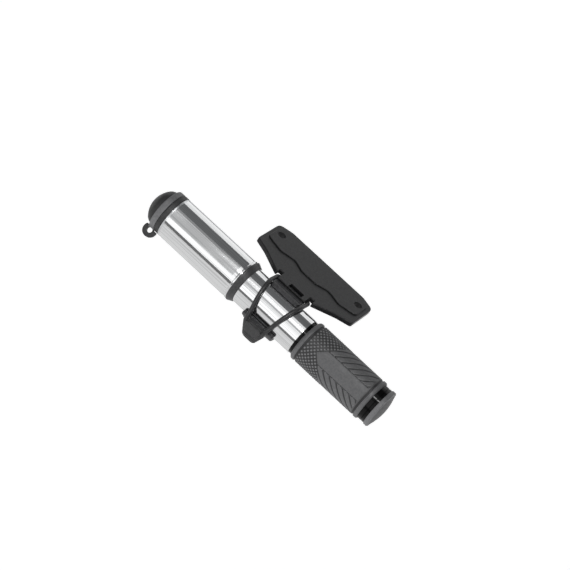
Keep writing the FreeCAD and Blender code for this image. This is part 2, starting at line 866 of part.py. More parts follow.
os.makedirs(OUT, exist_ok=True)
for name, make in NODES.items():
    shape = make()
    solids = len(shape.Solids)
    print(name, "solids", solids, "valid", shape.isValid(), "volume", round(shape.Volume, 1))
    save(shape, name)
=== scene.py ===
"""Looks of the hand pump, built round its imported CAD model.

Metres, in the CAD frame: X runs along the pump, +X towards the rubber grip, and Z is up. Angles round
the pump's axis are 0 towards -Y, where the camera is, and 90 towards +Z.
"""

import json
import math

import bpy
import numpy as np
from mathutils import Matrix, Vector


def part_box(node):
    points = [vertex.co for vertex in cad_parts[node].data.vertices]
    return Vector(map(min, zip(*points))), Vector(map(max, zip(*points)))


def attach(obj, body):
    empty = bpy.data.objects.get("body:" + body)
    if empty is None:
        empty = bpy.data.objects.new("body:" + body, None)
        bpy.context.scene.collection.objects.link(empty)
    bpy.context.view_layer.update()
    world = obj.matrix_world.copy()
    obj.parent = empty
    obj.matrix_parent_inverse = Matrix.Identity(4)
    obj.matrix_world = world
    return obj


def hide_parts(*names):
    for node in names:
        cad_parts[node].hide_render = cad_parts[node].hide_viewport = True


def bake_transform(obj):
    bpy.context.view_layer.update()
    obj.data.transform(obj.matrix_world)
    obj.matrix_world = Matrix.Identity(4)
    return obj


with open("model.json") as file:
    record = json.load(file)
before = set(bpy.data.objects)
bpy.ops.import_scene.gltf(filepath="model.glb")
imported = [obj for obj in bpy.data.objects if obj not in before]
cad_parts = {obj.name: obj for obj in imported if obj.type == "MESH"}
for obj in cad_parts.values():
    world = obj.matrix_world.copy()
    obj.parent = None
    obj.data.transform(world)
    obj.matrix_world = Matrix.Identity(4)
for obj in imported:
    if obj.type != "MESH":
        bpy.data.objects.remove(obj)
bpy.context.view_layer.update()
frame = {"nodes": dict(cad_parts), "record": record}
NODES = frame["nodes"]
MM = 0.001

# ---- camera: angles in degrees, and its aim from the middle of the barrel
CAMERA_AZIMUTH = 12.4
CAMERA_ELEVATION = 34.4
CAMERA_DISTANCE = 1.26
CAMERA_AIM = Vector((-11.15, 8.9427, 12.8)) * MM
CAMERA_LENS = 132.6
SENSOR_WIDTH = 36
CLIP_START = 0.05
CLIP_END = 50
PUMP_SLANT = 42.8

# ---- studio: metres, and angles in degrees
FLOOR_Z = -0.25
FLOOR_SIZE = 12.0
FLOOR_GREY = 0.86
FLOOR_GLOW = 0.60
ROOM_COLOUR = (0.96, 0.98, 1.0)
ROOM_GLOW = 0.14
BACKDROP_GLOW = 0.9
LIGHT_DISTANCE = 2.0
# Cards on the floor that only reflections see: name, y from, y to, glow.
CARDS = (
    ("grey_card", -2.9, -0.76, 0.16),
    ("pale_card", -0.76, 0.3, 0.74),
)
CARD_X_HALF = 3
CARD_LIFT = 0.002
# Light panels: name, elevation from and to, x from and to, radiance.
LIGHTS = (
    ("front_low", -3, 22, -2.6, 2.6, 1.15),
    ("front_low_right", 22, 42, -0.42, 1.2, 0.60),
    ("front_high", 22, 72, -2.6, 1.2, 0.38),
    ("front_high_right", 51, 83, -0.42, 1.2, 0.68),
    ("front_top", 70, 84, -2.6, 1.2, 0.16),
    ("glint_strip", 58, 64.5, -0.28, 1.2, 24.0),
    ("behind", 130, 174, -2.6, 1.2, 0.85),
)


# ---- small helpers
def link(obj):
    """Puts the object into the scene."""
    bpy.context.scene.collection.objects.link(obj)
    return obj


def centre_of(node):
    """The middle of the node's box, in metres."""
    low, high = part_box(node)
    return (low + high) / 2


# The middle of the barrel, which is a point on the pump's axis.
PUMP_AXIS = centre_of("barrel_tube")


def around(x, angle, r):
    """The point at that place round the pump's axis: x and r in metres, angle in degrees."""
    a = math.radians(angle)
    return Vector((x, PUMP_AXIS.y - r * math.cos(a), PUMP_AXIS.z + r * math.sin(a)))


def ends_of(node):
    """The node's two ends along X, in millimetres."""
    low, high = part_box(node)
    return low.x / MM, high.x / MM


def radius_of(node):
    """Half the node's height, in millimetres."""
    low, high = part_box(node)
    return (high.z - low.z) / 2 / MM


# ---- camera, floor and light
def make_camera():
    """Looks from in front and above, rolled so that the pump slants down to the right."""
    a = math.radians(CAMERA_AZIMUTH)
    e = math.radians(CAMERA_ELEVATION)
    back = Vector((math.sin(a) * math.cos(e), -math.cos(a) * math.cos(e), math.sin(e)))
    x_axis = Vector((1, 0, 0))
    along = (x_axis - back * back.x).normalized()
    across = back.cross(along)
    slant = math.radians(PUMP_SLANT)
    right = along * math.cos(slant) + across * math.sin(slant)
    up = across * math.cos(slant) - along * math.sin(slant)
    camera = bpy.data.cameras.new("camera")
    camera.lens = CAMERA_LENS
    camera.sensor_width = SENSOR_WIDTH
    camera.clip_start = CLIP_START
    camera.clip_end = CLIP_END
    holder = link(bpy.data.objects.new("camera", camera))
    turn = Matrix((right, up, back)).transposed()
    place = PUMP_AXIS + CAMERA_AIM + back * CAMERA_DISTANCE
    holder.matrix_world = Matrix.Translation(place) @ turn.to_4x4()
    bpy.context.scene.camera = holder


def light_panel(name, low, high, x_from, x_to, radiance):
    """A long soft light parallel to the pump, between two elevations: 0 is in front, 90 above, 180 behind."""
    middle = math.radians((low + high) / 2)
    width = x_to - x_from
    height = 2 * LIGHT_DISTANCE * math.tan(math.radians(high - low) / 2)
    light = bpy.data.lights.new(name, "AREA")
    light.shape = "RECTANGLE"
    light.size, light.size_y = width, height
    light.energy = radiance * math.pi * width * height
    holder = link(bpy.data.objects.new(name, light))
    reach = Vector((0, -math.cos(middle), math.sin(middle))) * LIGHT_DISTANCE
    holder.location = PUMP_AXIS * Vector((0, 1, 1)) + reach + Vector(((x_from + x_to) / 2, 0, 0))
    holder.rotation_euler = (math.pi / 2 - middle, 0, 0)
    holder.visible_camera = False
    return holder


def glowing_paint(name, grey, glow):
    """Matt paint of an even grey that also gives off light, so that the floor stays pale."""
    paint = bpy.data.materials.new(name)
    paint.use_nodes = True
    shader = paint.node_tree.nodes["Principled BSDF"]
    shader.inputs["Base Color"].default_value = (grey, grey, grey, 1)
    shader.inputs["Roughness"].default_value = 0.9
    shader.inputs["Specular IOR Level"].default_value = 0.1
    shader.inputs["Emission Color"].default_value = (1, 1, 1, 1)
    shader.inputs["Emission Strength"].default_value = glow
    return paint


def floor_card(name, x_half, y_from, y_to, z, paint):
    """A level sheet that belongs to the studio, not to the pump."""
    mesh = bpy.data.meshes.new(name)
    corners = [(-x_half, y_from, z), (x_half, y_from, z), (x_half, y_to, z), (-x_half, y_to, z)]
    mesh.from_pydata(corners, [], [(0, 1, 2, 3)])
    mesh.materials.append(paint)
    card = link(bpy.data.objects.new(name, mesh))
    return card


def make_world():
    """Dim room for reflections, and a pale backdrop where the camera sees past the floor."""
    world = bpy.data.worlds.new("studio")
    world.use_nodes = True
    nodes, links = world.node_tree.nodes, world.node_tree.links
    room = nodes["Background"]
    room.inputs["Color"].default_value = (*ROOM_COLOUR, 1)
    room.inputs["Strength"].default_value = ROOM_GLOW
    backdrop = nodes.new("ShaderNodeBackground")
    backdrop.inputs["Strength"].default_value = BACKDROP_GLOW
    mix = nodes.new("ShaderNodeMixShader")
    links.new(nodes.new("ShaderNodeLightPath").outputs["Is Camera Ray"], mix.inputs["Fac"])
    links.new(room.outputs["Background"], mix.inputs[1])
    links.new(backdrop.outputs["Background"], mix.inputs[2])
    links.new(mix.outputs["Shader"], nodes["World Output"].inputs["Surface"])
    bpy.context.scene.world = world


def make_studio():
    """Pale floor and soft panels. A grey card on the floor gives the tubes the dark line of a horizon.

    The glint strip only makes highlights: it lights no matt surface.
    """
    bpy.context.scene.view_settings.view_transform = "Standard"
    make_world()
    half = FLOOR_SIZE / 2
    floor_card("floor", half, -half, half, FLOOR_Z, glowing_paint("floor_paint", FLOOR_GREY, FLOOR_GLOW))
    for name, y_from, y_to, glow in CARDS:
        paint = glowing_paint(name + "_paint", 0.0, glow)
        card = floor_card(name, CARD_X_HALF, y_from, y_to, FLOOR_Z + CARD_LIFT, paint)
        card.visible_camera = False
        card.visible_diffuse = False
        card.visible_shadow = False
    for row in LIGHTS:
        panel = light_panel(*row)
        panel.visible_diffuse = row[0] != "glint_strip"


# ---- materials
# The colour sockets of a mix node, whose names it shares with its number sockets.
MIX_A, MIX_B, MIX_RESULT = 6, 7, 2
# How sharply the mesh turns where edges begin to be lightened, partly wear and partly painted highlight, and
# where they are fully lightened.
EDGE_LIGHTENING_FROM_TO = (0.52, 0.60)


class Finish:
    """A Principled material, and the steps that give it its colour, gloss and relief, in millimetres."""

    def __init__(self, name, metallic=0.0, **sockets):
        self.material = bpy.data.materials.new(name)
        self.material.use_nodes = True
        self.nodes = self.material.node_tree.nodes
        self.links = self.material.node_tree.links
        self.shader = self.nodes["Principled BSDF"]
        self.shader.inputs["Metallic"].default_value = metallic
        for socket, value in sockets.items():
            self.shader.inputs[socket.replace("_", " ")].default_value = value
        self.place = self.nodes.new("ShaderNodeTexCoord").outputs["Object"]
        self.last_normal = None

    def noise(self, size, stretch=(1, 1, 1), detail=3.0, rough=0.55):
        """Soft random pattern with features of that size, drawn out along the axes by stretch."""
        mapping = self.nodes.new("ShaderNodeMapping")
        mapping.inputs["Scale"].default_value = [1 / (size * MM * s) for s in stretch]
        self.links.new(self.place, mapping.inputs["Vector"])
        texture = self.nodes.new("ShaderNodeTexNoise")
        texture.inputs["Scale"].default_value = 1.0
        texture.inputs["Detail"].default_value = detail
        texture.inputs["Roughness"].default_value = rough
        self.links.new(mapping.outputs["Vector"], texture.inputs["Vector"])
        return texture.outputs["Fac"]

    def painted(self, name):
        """A value that the piece's own mesh carries at its points."""
        attribute = self.nodes.new("ShaderNodeAttribute")
        attribute.attribute_name = name
        return attribute.outputs["Fac"]

    def colour_mix(self):
        """Puts a colour mix after the colour so far, which goes into its first colour."""
        colour = self.shader.inputs["Base Color"]
        mix = self.nodes.new("ShaderNodeMix")
        mix.data_type = "RGBA"
        self.links.new(colour.links[0].from_socket, mix.inputs[MIX_A])
        self.links.new(mix.outputs[MIX_RESULT], colour)
        return mix

    def scale_colour(self, value, low_share, high_share):
        """Multiplies the colour by a share that goes with a pattern from 0 to 1."""
        mix = self.colour_mix()
        mix.blend_type = "MULTIPLY"
        mix.inputs["Factor"].default_value = 1.0
        self.links.new(self.spread(value, 0, 1, low_share, high_share), mix.inputs[MIX_B])
        return self

    def spread(self, value, low, high, to_low, to_high):
        """Maps low to high onto to_low to to_high, held at the ends."""
        step = self.nodes.new("ShaderNodeMapRange")
        for socket, number in zip(("From Min", "From Max", "To Min", "To Max"), (low, high, to_low, to_high)):
            step.inputs[socket].default_value = number
        self.links.new(value, step.inputs["Value"])
        return step.outputs["Result"]

    def tint(self, value, dark, light, low=0.35, high=0.65):
        """Colours the surface between two colours by a pattern."""
        ramp = self.nodes.new("ShaderNodeValToRGB")
        first, last = ramp.color_ramp.elements
        first.position, last.position = low, high
        first.color = (*dark, 1)
        last.color = (*light, 1)
        self.links.new(value, ramp.inputs["Fac"])
        self.links.new(ramp.outputs["Color"], self.shader.inputs["Base Color"])
        return self

    def shine(self, value, smooth, dull, low=0.35, high=0.65):
        """Varies the roughness by a pattern."""
        self.links.new(self.spread(value, low, high, smooth, dull), self.shader.inputs["Roughness"])
        return self

    def relief(self, value, depth):
        """Adds relief of that depth to the surface."""
        bump = self.nodes.new("ShaderNodeBump")
        bump.inputs["Distance"].default_value = depth * MM
        bump.inputs["Strength"].default_value = 1.0
        self.links.new(value, bump.inputs["Height"])
        if self.last_normal is not None:
            self.links.new(self.last_normal, bump.inputs["Normal"])
        self.last_normal = bump.outputs["Normal"]
        self.links.new(self.last_normal, self.shader.inputs["Normal"])
        return self

    def edge_wear_and_highlight(self, edge, amount):
        """Lightens what stands proud, from how sharply the mesh turns there: partly wear, partly a painted
        highlight.
        """
        sharp = self.nodes.new("ShaderNodeNewGeometry").outputs["Pointiness"]
        mix = self.colour_mix()
        mix.inputs[MIX_B].default_value = (*edge, 1)
        self.links.new(self.spread(sharp, *EDGE_LIGHTENING_FROM_TO, 0.0, amount), mix.inputs["Factor"])
        return self


def polished_aluminium():
    """Mirror-like tube with lengthwise polishing lines, broad and fine, and a few dull smears."""
    f = Finish("polished_aluminium", 1.0)
    lines = f.noise(0.8, stretch=(160, 1, 1), detail=3, rough=0.6)
    f.tint(lines, (0.64, 0.645, 0.65), (0.82, 0.825, 0.83), 0.34, 0.52)
    f.shine(f.noise(9, stretch=(2.2, 1, 1), detail=5), 0.13, 0.07, 0.32, 0.62)
    f.relief(f.noise(14, stretch=(3, 1, 1), detail=1), 0.03)
    f.relief(f.noise(0.9, stretch=(140, 1, 1), detail=2), 0.012)
    return f.relief(f.noise(0.12, stretch=(160, 1, 1), detail=2), 0.0012).material


def satin_aluminium():
    """Turned aluminium, with fine lines round it."""
    f = Finish("satin_aluminium", 1.0)
    rings = f.noise(0.09, stretch=(1, 60, 60), detail=2)
    f.tint(f.noise(5, detail=4), (0.62, 0.63, 0.64), (0.78, 0.79, 0.80))
    f.shine(f.noise(3, detail=4), 0.22, 0.36)
    return f.relief(rings, 0.003).material


def rod_aluminium():
    """Ground rod with a thin film of grease in patches."""
    f = Finish("rod_aluminium", 1.0)
    film = f.noise(7, stretch=(3, 1, 1), detail=5)
    f.tint(film, (0.66, 0.66, 0.64), (0.82, 0.83, 0.84))
    f.shine(film, 0.12, 0.26)
    return f.relief(f.noise(0.08, stretch=(1, 40, 40), detail=2), 0.002).material


def dark_aluminium():
    """Dark anodised aluminium with bright spots where it has rubbed."""
    f = Finish("dark_aluminium", 1.0)
    f.tint(f.noise(1.2, detail=6), (0.075, 0.075, 0.085), (0.16, 0.16, 0.17), 0.40, 0.74)
    f.shine(f.noise(2.5, detail=4), 0.28, 0.42)
    return f.relief(f.noise(0.10, stretch=(1, 50, 50), detail=2), 0.003).material


def gloss_plastic():
    """Black moulded plastic with a high gloss, slightly uneven, with fine scratches round it."""
    f = Finish("gloss_plastic", Specular_IOR_Level=0.12)
    f.tint(f.noise(4, detail=4), (0.003, 0.003, 0.003), (0.006, 0.006, 0.006))
    f.shine(f.noise(1.5, stretch=(0.3, 3, 3), detail=5), 0.04, 0.10)
    return f.relief(f.noise(2.2, detail=2), 0.006).material


def collar_plastic():
    """Dark grey moulded plastic with a fine matt texture."""
    f = Finish("collar_plastic")
    f.tint(f.noise(1.4, detail=5), (0.034, 0.034, 0.036), (0.052, 0.052, 0.054))
    f.shine(f.noise(0.8, detail=4), 0.36, 0.50)
    return f.relief(f.noise(0.20, detail=3), 0.010).material


def bracket_plastic():
    """Black nylon with the fine spark-eroded texture of its mould; the clip is made paler than the plate, a
    painted reflection.
    """
    f = Finish("bracket_plastic", Specular_IOR_Level=0.32)
    f.tint(f.noise(1.4, detail=6), (0.011, 0.011, 0.012), (0.019, 0.019, 0.020))
    f.shine(f.noise(1.0, detail=5), 0.32, 0.48)
    f.relief(f.noise(0.28, detail=4, rough=0.6), 0.016)
    # Painted reflection: pieces that carry this attribute, the clip, come out 2.6 times paler.
    f.scale_colour(f.painted("painted_reflection"), 1.0, 2.6)
    return f.relief(f.noise(9, detail=1), 0.05).material


def inner_plastic():
    """Off-white acetal, slightly translucent, with turning lines."""
    f = Finish("inner_plastic", Subsurface_Weight=0.08)
    f.shader.inputs["Subsurface Radius"].default_value = (0.0010, 0.0009, 0.0007)
    f.tint(f.noise(2.0, detail=4), (0.62, 0.61, 0.56), (0.74, 0.73, 0.68))
    f.shine(f.noise(1.5, detail=4), 0.30, 0.46)
    return f.relief(f.noise(0.12, stretch=(1, 30, 30), detail=2), 0.004).material


def grip_rubber():
    """Charcoal moulded rubber: matt; paler up the dots, partly where hands rub it and partly painted
    highlight, and dark between them, partly dust and partly painted shade.
    """
    f = Finish("grip_rubber", Specular_IOR_Level=0.45)
    f.tint(f.noise(1.1, detail=6, rough=0.62), (0.079, 0.079, 0.081), (0.103, 0.103, 0.106))
    f.shine(f.noise(2.4, detail=4), 0.46, 0.62)
    # Painted shade and highlight, with some dust and wear: the colour goes from 0.30 times on the ground to
    # 2.1 times on the dots' tops.
    f.scale_colour(f.painted("proud"), 0.30, 2.1)
    return f.relief(f.noise(0.16, detail=3), 0.006).material


def strap_rubber():
    """Black stretchy rubber with a slight sheen, drawn lines along its pull, and pale edges, partly rubbed
    and partly a painted highlight.
    """
    f = Finish("strap_rubber", Sheen_Weight=0.10, Sheen_Roughness=0.4)
    f.tint(f.noise(1.3, detail=6, rough=0.62), (0.014, 0.014, 0.015), (0.032, 0.032, 0.033))
    f.shine(f.noise(0.9, detail=5), 0.38, 0.58)
    # Edges lightened: partly wear, partly a painted highlight.
    f.edge_wear_and_highlight((0.075, 0.075, 0.077), 0.5)
    return f.relief(f.noise(0.22, detail=4), 0.012).material


def bumper_rubber():
    """Mid-grey rubber with a bloom and small scuffs; the end face is darker than the rim, painted shade."""
    f = Finish("bumper_rubber")
    f.tint(f.noise(1.2, detail=6, rough=0.62), (0.135, 0.135, 0.14), (0.185, 0.185, 0.19))
    f.shine(f.noise(1.6, detail=5), 0.44, 0.62)
    # Painted shade: the domed end face gets half the colour of the rim.
    f.scale_colour(f.painted("pale"), 0.50, 1.0)
    return f.relief(f.noise(0.20, detail=3), 0.010).material


def ring_rubber():
    """Soft black rubber."""
    f = Finish("ring_rubber")
    f.tint(f.noise(1.0, detail=6), (0.018, 0.018, 0.019), (0.036, 0.036, 0.037))
    f.shine(f.noise(1.2, detail=4), 0.42, 0.58)
    return f.relief(f.noise(0.20, detail=3), 0.010).material


def cap_rubber():
    """Dark rubber with a dusty bloom; the dome and the loop are darkened far below the rim band, painted
    shade.
    """
    f = Finish("cap_rubber")
    f.tint(f.noise(1.6, detail=6, rough=0.62), (0.13, 0.13, 0.135), (0.18, 0.18, 0.185))
    f.shine(f.noise(1.8, detail=5), 0.42, 0.60)
    # Painted shade: where the mask is 0, on the dome and the loop, the colour falls to 0.13 of the rim
    # band's.
    f.scale_colour(f.painted("pale"), 0.13, 1.0)
    return f.relief(f.noise(0.22, detail=3), 0.010).material


def seal_rubber():
    """Nitrile with a wet film of grease."""
    f = Finish("seal_rubber", Coat_Weight=0.3, Coat_Roughness=0.15)
    f.tint(f.noise(0.8, detail=5), (0.012, 0.012, 0.012), (0.026, 0.025, 0.023))
    f.shine(f.noise(1.0, detail=4), 0.20, 0.42)
    return f.relief(f.noise(0.25, detail=3), 0.008).material


def hose_rubber():
    """Black hose with the print of its braid under the skin."""
    f = Finish("hose_rubber")
    wave = f.nodes.new("ShaderNodeTexWave")
    wave.inputs["Scale"].default_value = 1 / (5.5 * MM)
    wave.inputs["Distortion"].default_value = 1.2
    f.links.new(f.place, wave.inputs["Vector"])
    f.tint(f.noise(1.5, detail=5), (0.016, 0.016, 0.017), (0.034, 0.034, 0.035))
    f.shine(f.noise(1.3, detail=4), 0.36, 0.54)
    f.relief(wave.outputs["Fac"], 0.03)
    return f.relief(f.noise(0.2, detail=3), 0.010).material


def brass():
    """Turned brass, a little tarnished."""
    f = Finish("brass", 1.0)
    f.tint(f.noise(1.5, detail=6), (0.58, 0.40, 0.17), (0.84, 0.63, 0.30))
    f.shine(f.noise(1.2, detail=4), 0.18, 0.36)
    return f.relief(f.noise(0.09, stretch=(1, 40, 40), detail=2), 0.003).material


def spring_steel():
    """Drawn steel with a faint straw tint."""
    f = Finish("spring_steel", 1.0)
    f.tint(f.noise(0.6, detail=5), (0.44, 0.43, 0.41), (0.64, 0.63, 0.60))
    f.shine(f.noise(0.5, detail=4), 0.16, 0.34)
    return f.relief(f.noise(0.08, detail=3), 0.002).material


FINISHES = {
    make.__name__: make()
    for make in (
        polished_aluminium,
        satin_aluminium,
        rod_aluminium,
        dark_aluminium,
        gloss_plastic,
        collar_plastic,
        bracket_plastic,
        inner_plastic,
        grip_rubber,
        strap_rubber,
        bumper_rubber,
        ring_rubber,
        cap_rubber,
        seal_rubber,
        hose_rubber,
        brass,
        spring_steel,
    )
}


# ---- mesh helpers
LATHE_SEGMENTS = 224


def arc_corner(before, corner, after, radius, steps):
    """Points of an arc that rounds a corner of an outline."""
    p, q, r = Vector(before), Vector(corner), Vector(after)
    a, b = (p - q).normalized(), (r - q).normalized()
    half = a.angle(b) / 2
    reach = min(radius / math.tan(half), (p - q).length * 0.499, (r - q).length * 0.499)
    radius = reach * math.tan(half)
    hub = q + (a + b).normalized() * (radius / math.sin(half))
    start, end = q + a * reach - hub, q + b * reach - hub
    sweep = start.angle_signed(end)
    points = []
    for i in range(steps + 1):
        t = sweep * i / steps
        along = start.x * math.cos(t) + start.y * math.sin(t)
        out = start.y * math.cos(t) - start.x * math.sin(t)
        points.append(tuple(hub + Vector((along, out))))
    return points


def soft_outline(corners, steps=6):
    """An open outline of (x, r, rounding) corners, with each one rounded, as (x, r) points."""
    points = []
    for i, (x, r, rounding) in enumerate(corners):
        if rounding and 0 < i < len(corners) - 1:
            points += arc_corner(corners[i - 1][:2], (x, r), corners[i + 1][:2], rounding, steps)
        else:
            points.append((x, r))
    return points


def finish_mesh(name, verts, faces, slot, sharp=40):
    """A smooth-shaded piece in its finish, with creases where faces meet at more than the sharp angle."""
    mesh = bpy.data.meshes.new(name)
    mesh.from_pydata(verts, [], faces)
    mesh.validate()
    mesh.materials.append(FINISHES[slot])
    mesh.shade_smooth()
    mesh.set_sharp_from_angle(angle=math.radians(sharp))
    return link(bpy.data.objects.new(name, mesh))


def carry(piece, name, values):
    """Stores one number for each point of a piece, for its material to read."""
    attribute = piece.data.attributes.new(name, "FLOAT", "POINT")
    attribute.data.foreach_set("value", np.asarray(values, dtype=np.float32))


def lathe(name, outline, slot, closed=True):
    """Turns an outline of (x, r) millimetres round the pump's axis. Points with r = 0 become poles."""
    verts, rings = [], []
    for x, r in outline:
        if r < 1e-6:
            rings.append([len(verts)])
            verts.append((x * MM, PUMP_AXIS.y, PUMP_AXIS.z))
            continue
        rings.append(list(range(len(verts), len(verts) + LATHE_SEGMENTS)))
        for k in range(LATHE_SEGMENTS):
            verts.append(tuple(around(x * MM, 360 * k / LATHE_SEGMENTS, r * MM)))
    pairs = list(zip(rings, rings[1:]))
    if closed:
        pairs.append((rings[-1], rings[0]))
    faces = []
    for one, two in pairs:
        if len(one) == 1 and len(two) == 1:
            continue
        for k in range(LATHE_SEGMENTS):
            n = (k + 1) % LATHE_SEGMENTS
            if len(one) == 1:
                faces.append((one[0], two[n], two[k]))
            elif len(two) == 1:
                faces.append((one[k], one[n], two[0]))
            else:
                faces.append((one[k], one[n], two[n], two[k]))
    return finish_mesh(name, verts, faces, slot)


def softened_copy(name, node, slot, voxel, rounds):
    """A copy of a CAD node with its edges worn round: remeshed to that voxel in millimetres, then relaxed."""
    piece = link(bpy.data.objects.new(name, NODES[node].data.copy()))
    weld = piece.modifiers.new("weld", "WELD")
    weld.merge_threshold = 1e-6
    remesh = piece.modifiers.new("remesh", "REMESH")
    remesh.mode = "VOXEL"
    remesh.voxel_size = voxel * MM
    relax = piece.modifiers.new("relax", "SMOOTH")
    relax.factor = 0.5
    relax.iterations = rounds
    graph = bpy.context.evaluated_depsgraph_get()
    made = bpy.data.meshes.new_from_object(piece.evaluated_get(graph))
    piece.modifiers.clear()
    piece.data = made
    made.materials.clear()
    made.materials.append(FINISHES[slot])
    made.shade_smooth()
    return piece


def stands_for(piece, node, body):
    """The piece rides on the body in place of the node."""
    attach(piece, body)
    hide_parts(node)


# ---- the grip's rubber, in millimetres
GRIP_GRID = 0.24
GRIP_WALL = 1.4
GROUND_DROP = 0.38
# The plain band at each end, and the groove between band and pattern.
BAND_LEFT_WIDTH = 3.6
BAND_RIGHT_WIDTH = 3.3
BAND_GROOVE_DEPTH = 0.35
BAND_SHADE = 0.55
# The patterned field: its distance from the grooves, and how it fades in.
FIELD_MARGIN = 0.75
FIELD_INSET = 1.4
FIELD_FADE = 0.35
EDGE = 0.15
# The smooth panel, whose centre is that far from the grip's left end, and faces up by that many degrees.
PANEL_CENTRE = 21.5
PANEL_FACES = 32.0
PANEL_HALF = 5.1
PANEL_TIP = -9.3
PANEL_END = 28.0
PANEL_RISE = 0.16
END_RISE = 0.10
# The grooved wings beside the panel, from its centre.
WING_START = -3.8
WING_SLOPE = 0.5
WING_GAP = (0.45, 0.75)
GROOVE_PITCH = 5.3
GROOVE_DEPTH = 0.34
GROOVE_SIDES = (0.25, 0.85)
# The dots.
DOT_R = 0.68
DOT_SIDES = (0.62, 1.12)
DOT_HEIGHT = 0.30
DOT_PITCH = 2.75
DOT_ROWS = 58


def smooth_step(value, low, high):
    """0 below low, 1 above high, and smooth between."""
    t = np.clip((value - low) / (high - low), 0, 1)
    return t * t * (3 - 2 * t)


def dot_relief(x, s, round_length):
    """Height of the dots, which stand in rows along the grip, each row shifted by half a pitch."""
    row_pitch = round_length / DOT_ROWS
    row = np.round(s / row_pitch)
    shift = (row % 2) * DOT_PITCH / 2
    dx = (x + shift + DOT_PITCH / 2) % DOT_PITCH - DOT_PITCH / 2
    ds = s - row * row_pitch
    inner, outer = DOT_SIDES
    return DOT_HEIGHT * (1 - smooth_step(np.sqrt(dx * dx + ds * ds), DOT_R * inner, DOT_R * outer))


def grip_relief(x, s, round_length):
    """Height over the grip's ground: x from the panel's centre, s round the grip from its middle line."""
    half = round_length / 2
    t = np.abs((s + half / 2) % half - half / 2)
    ending = smooth_step(x - PANEL_END, -EDGE, EDGE)
    panel = smooth_step(PANEL_HALF - t, -EDGE, EDGE) * smooth_step(x - t - PANEL_TIP, -EDGE, EDGE)
    panel *= 1 - ending
    past_panel = t - PANEL_HALF
    wing = smooth_step(past_panel, *WING_GAP) * (1 - ending)
    wing *= smooth_step(x - WING_SLOPE * past_panel - WING_START, -EDGE, EDGE)
    phase = np.abs(((x - t) / GROOVE_PITCH + 0.5) % 1 - 0.5) * GROOVE_PITCH
    grooves = 1 - smooth_step(phase, *GROOVE_SIDES)
    flat = np.maximum(panel, wing)
    raised = PANEL_RISE * flat + END_RISE * ending - GROOVE_DEPTH * grooves * wing
    return raised + dot_relief(x, s, round_length) * (1 - np.maximum(flat, ending))


def grip_start(left, groove, ground, ring_r):
    """The grip's outline from its bore, over the left band and its groove, to the patterned field."""
    floor = ground - BAND_GROOVE_DEPTH
    return soft_outline(
        [
            (left, ring_r - GRIP_WALL, 0),
            (left, ground - 0.7, 0.4),
            (left + 1.0, ring_r - 0.12, 0.7),
            (left + 1.8, ring_r, 0.6),
            (groove - 0.75, ring_r, 0.4),
            (groove - 0.35, floor, 0.25),
            (groove + 0.35, floor, 0.25),
            (groove + 0.65, ground, 0.2),
        ]
    )


def grip_end(right, groove, ground, ring_r):
    """The grip's outline from the patterned field, over the groove and the right band, to its bore."""
    floor = ground - BAND_GROOVE_DEPTH
    return soft_outline(
        [
            (groove - 0.65, ground, 0.2),
            (groove - 0.35, floor, 0.25),
            (groove + 0.30, floor, 0.25),
            (groove + 0.65, ring_r, 0.4),
            (right - 0.9, ring_r, 0.6),
            (right, ring_r - 0.55, 0.4),
            (right, ring_r - GRIP_WALL, 0),
        ]
    )


def ring_faces(count, segments):
    """Faces that join each ring of points to the next one, and the last one to the first."""
    faces = []
    for i in range(count):
        one, two = i * segments, ((i + 1) % count) * segments
        for k in range(segments):
            n = (k + 1) % segments
            faces.append((one + k, one + n, two + n, two + k))
    return faces


def make_grip():
    """Rubber sleeve with raised dots, a smooth pointed panel on two sides and slanted grooves beside it."""
    left, right = ends_of("grip_sleeve")
    ring_r = radius_of("grip_sleeve")
    ground = ring_r - GROUND_DROP
    groove_left, groove_right = left + BAND_LEFT_WIDTH, right - BAND_RIGHT_WIDTH
    columns = int((groove_right - groove_left - FIELD_INSET) / GRIP_GRID)
    field = np.linspace(groove_left + FIELD_MARGIN, groove_right - FIELD_MARGIN, columns)
    round_length = 2 * math.pi * ring_r
    segments = int(round_length / GRIP_GRID)
    angle = 2 * math.pi * np.arange(segments) / segments
    s = (angle - math.radians(PANEL_FACES)) * ring_r
    s = (s + round_length / 2) % round_length - round_length / 2

    rows = [(x, np.full(segments, r)) for x, r in grip_start(left, groove_left, ground, ring_r)]
    for x in field:
        relief = grip_relief(x - left - PANEL_CENTRE, s, round_length)
        fade = smooth_step(min(x - field[0], field[-1] - x), 0.0, FIELD_FADE)
        rows.append((x, ground + relief * fade))
    rows += [(x, np.full(segments, r)) for x, r in grip_end(right, groove_right, ground, ring_r)]

    verts, proud = [], []
    for x, r in rows:
        on_band = x < groove_left - 0.5 or x > groove_right + 0.5
        # How far the rubber stands over its ground sets its colour: painted shade low down and painted
        # highlight on the dots, with some dust and wear; the bands take a middle value.
        proud.append(np.clip((r - ground) / DOT_HEIGHT, 0, 1) * (1 - on_band) + BAND_SHADE * on_band)
        y = PUMP_AXIS.y - r * MM * np.cos(angle)
        z = PUMP_AXIS.z + r * MM * np.sin(angle)
        verts += zip([float(x * MM)] * segments, y.tolist(), z.tolist())
    faces = ring_faces(len(rows), segments)
    piece = finish_mesh("grip_rubber_sleeve", verts, faces, "grip_rubber", sharp=80)
    carry(piece, "proud", np.concatenate(proud))
    stands_for(piece, "grip_sleeve", "barrel")


# ---- turned rubber and plastic pieces: outlines as rows of x, radius and rounding, in millimetres
COLLAR_GAP = 0.08
COLLAR_FIT = 0.03
BUMPER_FIT = 0.02
BUMPER_SPIGOT_R = 7.9
BUMPER_RIM_WIDTH = 1.1
BUMPER_DOME_RISE = 2.2
DOME_STEPS = 24


